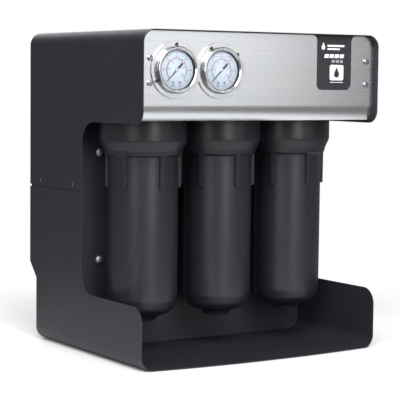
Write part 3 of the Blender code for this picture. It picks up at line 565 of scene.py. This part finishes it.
# ================================================================ label: a plain drop and bars on a dark plate
plate_y = PANEL_Y + PANEL_T + 0.3
label = obj("label_skin", prism(round_rect(LABEL_X0 - 14, LABEL_X1 + 14, LABEL_Z - 10, HEIGHT - SHEET - 0.6, 4, 8), plate_y, plate_y + 1.2, "Y"), LABEL)
finish(label, replaces=["label_plate"], edge=0.2)


def drop(cx, cz, r, n=24):
    """A water drop: a round bottom drawn up to a point."""
    pts = arc(cx, cz, r, 160, 380, n)
    return pts + [(cx, cz + 2.25 * r)]


def slanted(x0, x1, z0, z1, lean):
    return [(x0, z0), (x1, z0), (x1 + lean, z1), (x0 + lean, z1)]


y0, y1 = plate_y - 0.06, plate_y + 0.02
white = [prism(drop(116.2, 480.4, 3.5), y0, y1, "Y"), prism(round_rect(124, 158, 481.6, 484.6, 1.4, 5), y0, y1, "Y"),
         prism(round_rect(124, 149, 476.8, 479.2, 1.1, 5), y0, y1, "Y")]
white += [prism(slanted(118 + 10 * k, 126 + 10 * k, 464.2, 470.0, 1.8), y0, y1, "Y") for k in range(4)]
white += [prism(round_rect(129.5, 156.5, 429.2, 453.4, 3.2, 8), y0, y1, "Y"), prism(round_rect(130, 156, 425.7, 426.5, 0.35, 3), y0, y1, "Y")]
finish(joined("label_print", white, WHITE), weighted=False)
grey = [prism(round_rect(133 + 8 * k, 139 + 8 * k, 456.6, 461.2, 0.8, 4), y0 + 0.02, y1, "Y") for k in range(3)]
finish(joined("label_print_grey", grey, GREY), weighted=False)
dark = [prism(drop(143.0, 438.6, 5.2), y0 - 0.04, y0 + 0.01, "Y")]
finish(joined("label_print_dark", dark, LABEL), weighted=False)


# ================================================================ screws
def cross(bm, r, w, depth, top):
    for k in range(2):
        add_box(bm, (-r, -w / 2, top - depth), (r, w / 2, top + 3), Matrix.Rotation(k * math.pi / 2 + 0.35, 4, "Z"))


def screw(name, x, y, z, head_r, head_h, mat, node, recess=None, dome=False, steps=48):
    """A pan or dome head with a cross recess, on a plain shank."""
    if dome:
        prof = [(0, head_h)] + [(head_r * math.sin(math.radians(a)), head_h * (0.12 + 0.88 * math.cos(math.radians(a)))) for a in range(12, 91, 6)]
        prof += [(head_r, 0), (2.4, 0), (2.4, -8), (0, -8)]
    else:
        prof = rounded([(0, head_h), (head_r, head_h, head_h * 0.85), (head_r, 0, 0.1), (1.2, 0, 0), (1.2, -6, 0), (0, -6)], 0.3, 6)
    ob = obj(name, lathe(prof, steps), mat, Matrix.Translation(Vector((x, y, z)) * MM) @ FACING)
    if recess:
        bm = bmesh.new()
        cross(bm, recess, recess * 0.42, head_h * 0.55, head_h)
        cut(ob, obj("c", bm, None, Matrix.Translation(Vector((x, y, z)) * MM) @ FACING), self_cross=True)
    return finish(ob, replaces=[node], edge=0.12 if recess else 0, weighted=False, smooth=50)


for i, (x, z) in enumerate(PANEL_SCREWS, 1):
    screw(f"panel_screw_{i}", x, PANEL_Y - 0.1, z, 4.4, 2.8, SATIN, f"front_panel_screw_{i}", 3.0)
for i, (x, z) in enumerate(DOME, 1):
    screw(f"dome_screw_{i}", x, PARTITION_Y - 0.1, z, 6.4, 4.5, ZINC, f"partition_screw_{i}", dome=True)
for i, (x, z) in enumerate(GAUGE_SCREWS, 1):
    screw(f"flange_screw_{i}", x, PANEL_Y - 2.5, z, 2.7, 1.6, BLACKENED, f"gauge_screw_{i}", 1.5, steps=32)

# ================================================================ gauges
mid_x = sum(GAUGE_X) / 2


def digits(text, x, z, size, y, turn=0.0):
    cu = bpy.data.curves.new("t", "FONT")
    cu.body, cu.size, cu.align_x, cu.align_y = text, size * MM, "CENTER", "CENTER"
    cu.resolution_u = 2
    cu.extrude = 0.02 * MM
    ob = bpy.data.objects.new("t", cu)
    bpy.context.scene.collection.objects.link(ob)
    bpy.context.view_layer.update()
    me = bpy.data.meshes.new_from_object(ob.evaluated_get(bpy.context.evaluated_depsgraph_get()))
    bpy.data.objects.remove(ob, do_unlink=True)
    me.transform(Matrix.Translation(Vector((x, y, z)) * MM) @ FACING @ Matrix.Rotation(turn, 4, "Z"))
    bm = bmesh.new()
    bm.from_mesh(me)
    bpy.data.meshes.remove(me)
    return bm


def polar(gx, r, deg):
    return gx + r * math.cos(math.radians(deg)), GAUGE_Z + r * math.sin(math.radians(deg))


def tick(gx, deg, r0, r1, w, y):
    bm = bmesh.new()
    turn = Matrix.Translation(Vector((gx, y, GAUGE_Z)) * MM) @ Matrix.Rotation(-math.radians(deg), 4, "Y")
    add_box(bm, (r0, -0.03, -w / 2), (r1, 0.03, w / 2), turn)
    return bm


def band(gx, a0, a1, r0, r1, y, n=60):
    return prism(arc(gx, GAUGE_Z, r1, a0, a1, n) + arc(gx, GAUGE_Z, r0, a1, a0, n), y - 0.03, y + 0.03, "Y")


for i, gx in enumerate(GAUGE_X, 1):
    at = Matrix.Translation(Vector((gx, PANEL_Y, GAUGE_Z)) * MM) @ FACING
    prof = rounded([(0, -24), (30.9, -24), (30.9, 7.6), (33, 7.6), (33, 2.4), (42.5, 2.4), (42.5, 0.3), (32, 0.3), (32, -26), (6.7, -26), (6.7, -42), (0, -42)], 0.35, 3)
    case = obj(f"gauge_{i}_body", lathe(prof, 128), FLANGE, at)
    side = 1 if gx < mid_x else -1
    x0, x1 = sorted((mid_x - side * 0.15, mid_x + side * 30))
    bm = bmesh.new()
    add_box(bm, (x0, PANEL_Y - 10, GAUGE_Z - 60), (x1, PANEL_Y + 10, GAUGE_Z + 60))
    for x, z in GAUGE_SCREWS[2 * i - 2:2 * i]:
        add_rod(bm, (x, PANEL_Y, z), 1.6, 20, 20, FACING)
    cut(case, obj("c", bm))
    finish(case, replaces=[f"gauge_{i}_case"], weighted=True, smooth=50)
    prof = rounded([(33.3, 2.7, 0.1), (34.6, 2.7, 0.2), (34.6, 5.0, 0.4), (34.2, 5.3, 0.2), (34.2, 5.9, 0.2), (34.6, 6.2, 0.4), (34.6, 8.4, 0.9),
                    (33.4, 9.9, 0.7), (31.4, 9.9, 0.7), (30.5, 8.9, 0.4), (29.9, 8.9, 0.3), (29.3, 8.3, 0.2), (29.3, 7.9, 0.1), (33.3, 7.9, 0.1),
                    (33.3, 2.8, 0.05)], 0.3, 4)
    ring = obj(f"gauge_{i}_ring", lathe(prof, 144, closed=True), POLISHED, at)
    finish(ring, replaces=[f"gauge_{i}_bezel"], weighted=False, smooth=60)
    prof = [(28.7, 3.0), (30.7, 3.0), (30.7, 6.1), (29.2, 6.1)]
    gasket = obj(f"gauge_{i}_gasket", lathe(prof, 96, closed=True), RUBBER, at)
    finish(gasket, weighted=False)
    lens = obj(f"gauge_{i}_glass", lathe(rounded([(0, 7.6), (30.5, 7.6), (30.5, 6.2), (0, 6.2)], 0.2, 2), 96), GLASS, at)
    finish(lens, replaces=[f"gauge_{i}_lens"], weighted=False, smooth=60)
    dial = obj(f"gauge_{i}_face", lathe(rounded([(1.6, 2.1, 0.1), (1.6, 2.9, 0.1), (30.5, 2.9, 0.2), (30.5, 2.1, 0.1), (1.7, 2.1, 0)], 0.1, 2), 96, closed=True), DIAL, at)
    finish(dial, replaces=[f"gauge_{i}_dial"], weighted=False, smooth=50)
    y = PANEL_Y - 2.96
    red, black, grey = [], [], []
    for k in range(7):
        a = 225 - 45 * k
        red.append(tick(gx, a, 17.6, 20.6, 0.75, y))
        x, z = polar(gx, 22.9, a)
        red.append(digits(str(25 * k), x, z, 3.9, y))
    red += [tick(gx, 225 - 9 * k, 17.6, 19.2, 0.4, y) for k in range(31)]
    red.append(band(gx, 225, -45, 17.2, 17.65, y))
    for k in range(6):
        a = 225 - 54 * k * 0.9667
        black.append(tick(gx, a, 13.8, 16.6, 0.75, y))
        if k:
            x, z = polar(gx, 11.6, a)
            black.append(digits(str(2 * k), x, z, 3.9, y))
    black += [tick(gx, 225 - 52.2 * k / 5, 15.1, 16.6, 0.36, y) for k in range(26)]
    black.append(band(gx, 225, -45, 16.4, 16.75, y))
    for dx in (-5.6, 5.6):
        grey.append(prism(arc(gx + dx, GAUGE_Z - 18.6, 2.0, 0, 345, 23), y - 0.03, y + 0.03, "Y"))
    black.append(prism(round_rect(gx - 8.2, gx - 3.0, GAUGE_Z - 23.6, GAUGE_Z - 22.5, 0.3, 2), y - 0.03, y + 0.03, "Y"))
    red.append(prism(round_rect(gx + 3.0, gx + 8.2, GAUGE_Z - 23.6, GAUGE_Z - 22.5, 0.3, 2), y - 0.03, y + 0.03, "Y"))
    for kind, parts, mat in (("red", red, RED), ("black", black, BLACK), ("grey", grey, GREY)):
        finish(joined(f"gauge_{i}_print_{kind}", parts, mat), weighted=False)
    # the filling's level stands at a chord near the top of the window
    level = GAUGE_Z + 20.3
    chord = prism(round_rect(gx - 21.5, gx + 21.5, level - 0.28, level + 0.28, 0.2, 2), y - 0.06, y - 0.03, "Y")
    finish(obj(f"gauge_{i}_level", chord, GREY), weighted=False)

    # needle: a tapered blade, a heavy tail and a bright hub
    turn = Matrix.Translation(Vector((gx, PANEL_Y, GAUGE_Z)) * MM) @ Matrix.Rotation(NEEDLE_ZERO, 4, "Y") @ FACING
    shapes = [prism([(-1.15, 0), (-0.35, 23.4), (0.35, 23.4), (1.15, 0)], 3.85, 4.4, "Z"),
              prism(round_rect(-1.8, 1.8, -14.2, -4.2, 0.6, 4), 3.8, 4.5, "Z"), prism(round_rect(-0.9, 0.9, -5, 0.5, 0.2, 2), 3.85, 4.4, "Z")]
    bm = bmesh.new()
    for shape in shapes:
        me = bpy.data.meshes.new("t")
        shape.to_mesh(me)
        shape.free()
        bm.from_mesh(me)
        bpy.data.meshes.remove(me)
    add_rod(bm, (0, 0, 0.0), 1.0, 8, 24)
    ob = obj(f"gauge_{i}_pointer", bm, NEEDLE, turn)
    finish(ob, f"needle_{i}", replaces=[f"gauge_{i}_needle"], edge=0.1, weighted=False)
    hub = obj(f"gauge_{i}_hub", lathe(rounded([(0, 5.3), (2.2, 5.3, 0.5), (2.5, 4.5, 0.2), (2.5, 3.5, 0.1), (0, 3.5)], 0.3, 4), 32), HUB, turn)
    finish(hub, f"needle_{i}", weighted=False, smooth=60)

# ================================================================ filter housings
for i, hx in enumerate(HOUSING_X, 1):
    at = Matrix.Translation(Vector((hx, HOUSING_Y, 0)) * MM)
    prof = rounded([(0, 68), (36, 69.5, 4), (47.5, 86, 6), (49.3, 338, 0.5), (59.6, 338, 0.5), (59.6, 372, 0.8), (68, 372, 1.2),
                    (68, 334.0, 8), (61.6, 319.0, 8), (60.2, 312.6, 1.0), (58.6, 311.6, 0.6), (54.6, 309.5, 5), (54.5, 280, 0), (54.4, 170, 0),
                    (54.2, 88.0, 16), (50.0, 73.5, 12), (39.0, 65.3, 10), (26.5, 61.2, 3), (23.0, 58.0, 2.0), (21.0, 53.5, 2.4), (7, 53.5, 0.4),
                    (6, 54.3, 0.4), (0, 54.3)], 0.5, 8)
    sump = obj(f"bowl_{i}", lathe(prof, 144), HOUSING, at)
    bm = bmesh.new()
    for k in range(6):
        turn = Matrix.Rotation(k * math.pi / 3, 4, "Z")
        ends = [(-58.6, 261.6), (-52.6, 261.0), (-52.6, 318.0), (-58.9, 316.4)]
        rib = prism([(p[0], p[1]) for p in ends], -4.2, 4.2, "X")
        me = bpy.data.meshes.new("t")
        rib.to_mesh(me)
        rib.free()
        me.transform(turn)
        bm.from_mesh(me)
        bpy.data.meshes.remove(me)
    cut(sump, obj("c", bm, None, at), "UNION")
    finish(sump, f"sump_{i}", replaces=[f"sump_{i}"], edge=0.7, segments=3, angle=50, weighted=False, smooth=60)
    # head: a cap, its spigot and its hose sockets
    prof = rounded([(0, 443), (50, 443, 2), (58, 436, 3), (63, 404, 4), (67.6, 390, 2), (67.6, 372.6, 1), (58.0, 372.6, 0.5), (58.0, 345.5, 0.8),
                    (51.5, 345.5, 0.8), (51.5, 394, 3), (0, 394)], 0.5, 5)
    head = obj(f"cap_{i}", lathe(prof, 120), CAP, at)
    bm = bmesh.new()
    for sy in (-38, 38):
        add_rod(bm, (0, sy, 445), 4.0, 14, 24)
    for dx in ((-24, 24), (-26, 0, 26), (-24, 24))[i - 1]:
        add_rod(bm, (dx, 63.75, 418), 7.8, 37.5, 32, FACING)
    cut(head, obj("c", bm, None, at), "UNION", True)
    finish(head, "case", replaces=[f"head_{i}"], edge=0.4, angle=50, weighted=False, smooth=60)

# ================================================================ what stays as it was built gets its own material
KEEP = {"seal_ring_1": RUBBER, "seal_ring_2": RUBBER, "seal_ring_3": RUBBER, "carbon_block_cartridge": MEDIA, "membrane_element": WRAP,
        "polishing_cartridge": FITTING, "head_carrier": ZINC_SHEET, "rear_panel": POWDER, "pump_cradle": MOTOR, "motor_housing": MOTOR,
        "pump_body": BRASS, "motor_rotor": SATIN, "inlet_valve": BRASS, "feed_port": FITTING, "product_port": FITTING, "drain_port": FITTING,
        "concentrate_valve": BRASS, "concentrate_valve_knob": PLASTIC, "power_inlet": PLASTIC, "power_switch_rocker": PLASTIC,
        "controller_box": PLASTIC, "feed_hose": TUBE, "suction_hose": TUBE, "pressure_hose": TUBE, "concentrate_hose": TUBE,
        "permeate_hose": TUBE, "product_hose": TUBE}
for name, mat in KEEP.items():
    me = NODES[name].data
    me.materials.clear()
    me.materials.append(mat)

# ================================================================ stage
bm = bmesh.new()
bmesh.ops.create_circle(bm, cap_ends=True, segments=96, radius=1.7)
floor = obj("floor", bm)
floor.location = (0, 0, -0.0005)
stage = Nodes("pale_floor")
stage.link(stage.tint(stage.remap(stage.noise(3, 3), 0, 1), (0.86, 0.86, 0.87), (0.89, 0.89, 0.89)), stage.s.inputs["Base Color"])
stage.link(stage.remap(stage.noise(40, 3), 0.6, 0.75), stage.s.inputs["Roughness"])
fade = stage.t.nodes.new("ShaderNodeMixShader")
reach = stage.t.nodes.new("ShaderNodeVectorMath")
reach.operation = "LENGTH"
stage.link(stage.co, reach.inputs[0])
edge = stage.node("ShaderNodeMapRange", Value=reach.outputs["Value"])
edge.interpolation_type = "SMOOTHSTEP"
for k, v in (("From Min", 0.40), ("From Max", 0.80), ("To Min", 0.0), ("To Max", 1.0)):
    edge.inputs[k].default_value = v
stage.link(edge.outputs["Result"], fade.inputs["Fac"])
stage.link(stage.s.outputs[0], fade.inputs[1])
stage.link(stage.t.nodes.new("ShaderNodeBsdfTransparent").outputs[0], fade.inputs[2])
stage.link(fade.outputs[0], stage.t.nodes["Material Output"].inputs["Surface"])
floor.data.materials.append(stage.m)


def softbox(name, where, aim, size, power, colour=(1, 1, 1)):
    li = bpy.data.lights.new(name, "AREA")
    li.shape, li.size, li.size_y, li.energy, li.color = "RECTANGLE", size[0], size[1], power, colour
    ob = bpy.data.objects.new(name, li)
    ob.location = where
    ob.rotation_euler = (Vector(where) - Vector(aim)).to_track_quat("Z", "Y").to_euler()
    ob.visible_camera = False
    bpy.context.scene.collection.objects.link(ob)
    return ob


def from_front(deg, distance, z):
    """A place at an angle round the object: 0 is straight in front, positive to the right."""
    return (distance * math.sin(math.radians(deg)), -distance * math.cos(math.radians(deg)), z)


# the brushed panel mirrors the box at the right of the front; the others model the housings and fill the bay
softbox("front_right", from_front(27.6, 2.9, 0.90), (0, -0.1, 0.42), (0.95, 1.4), 5.3)
softbox("front_middle", from_front(-4, 2.7, 1.35), (0, -0.1, 0.35), (0.9, 2.3), 52)
softbox("front_left", from_front(-58, 2.7, 1.35), (0, 0, 0.30), (0.8, 2.3), 27)
softbox("front_high", from_front(-27, 2.6, 2.5), (0, 0, 0.30), (2.0, 1.6), 100)
softbox("left", from_front(-97, 2.4, 1.3), (0, -0.05, 0.35), (0.7, 1.0), 7)
softbox("top", (0, 0.1, 2.6), (0, 0, 0.3), (1.8, 1.8), 14)
softbox("rear", from_front(168, 2.8, 1.5), (0, 0.1, 0.25), (1.6, 1.7), 30)

world = bpy.data.worlds.new("studio")
bpy.context.scene.world = world
world.use_nodes = True
wt = world.node_tree
bg = wt.nodes["Background"]
bg.inputs["Color"].default_value = (1.0, 1.0, 1.0, 1)
bg.inputs["Strength"].default_value = 0.22
seen = wt.nodes.new("ShaderNodeBackground")
seen.inputs["Color"].default_value = (1, 1, 1, 1)
seen.inputs["Strength"].default_value = 1.0
ray, mix = wt.nodes.new("ShaderNodeLightPath"), wt.nodes.new("ShaderNodeMixShader")
wt.links.new(ray.outputs["Is Camera Ray"], mix.inputs["Fac"])
wt.links.new(bg.outputs[0], mix.inputs[1])
wt.links.new(seen.outputs[0], mix.inputs[2])
wt.links.new(mix.outputs[0], wt.nodes["World Output"].inputs["Surface"])
bpy.context.scene.view_settings.view_transform = "Standard"
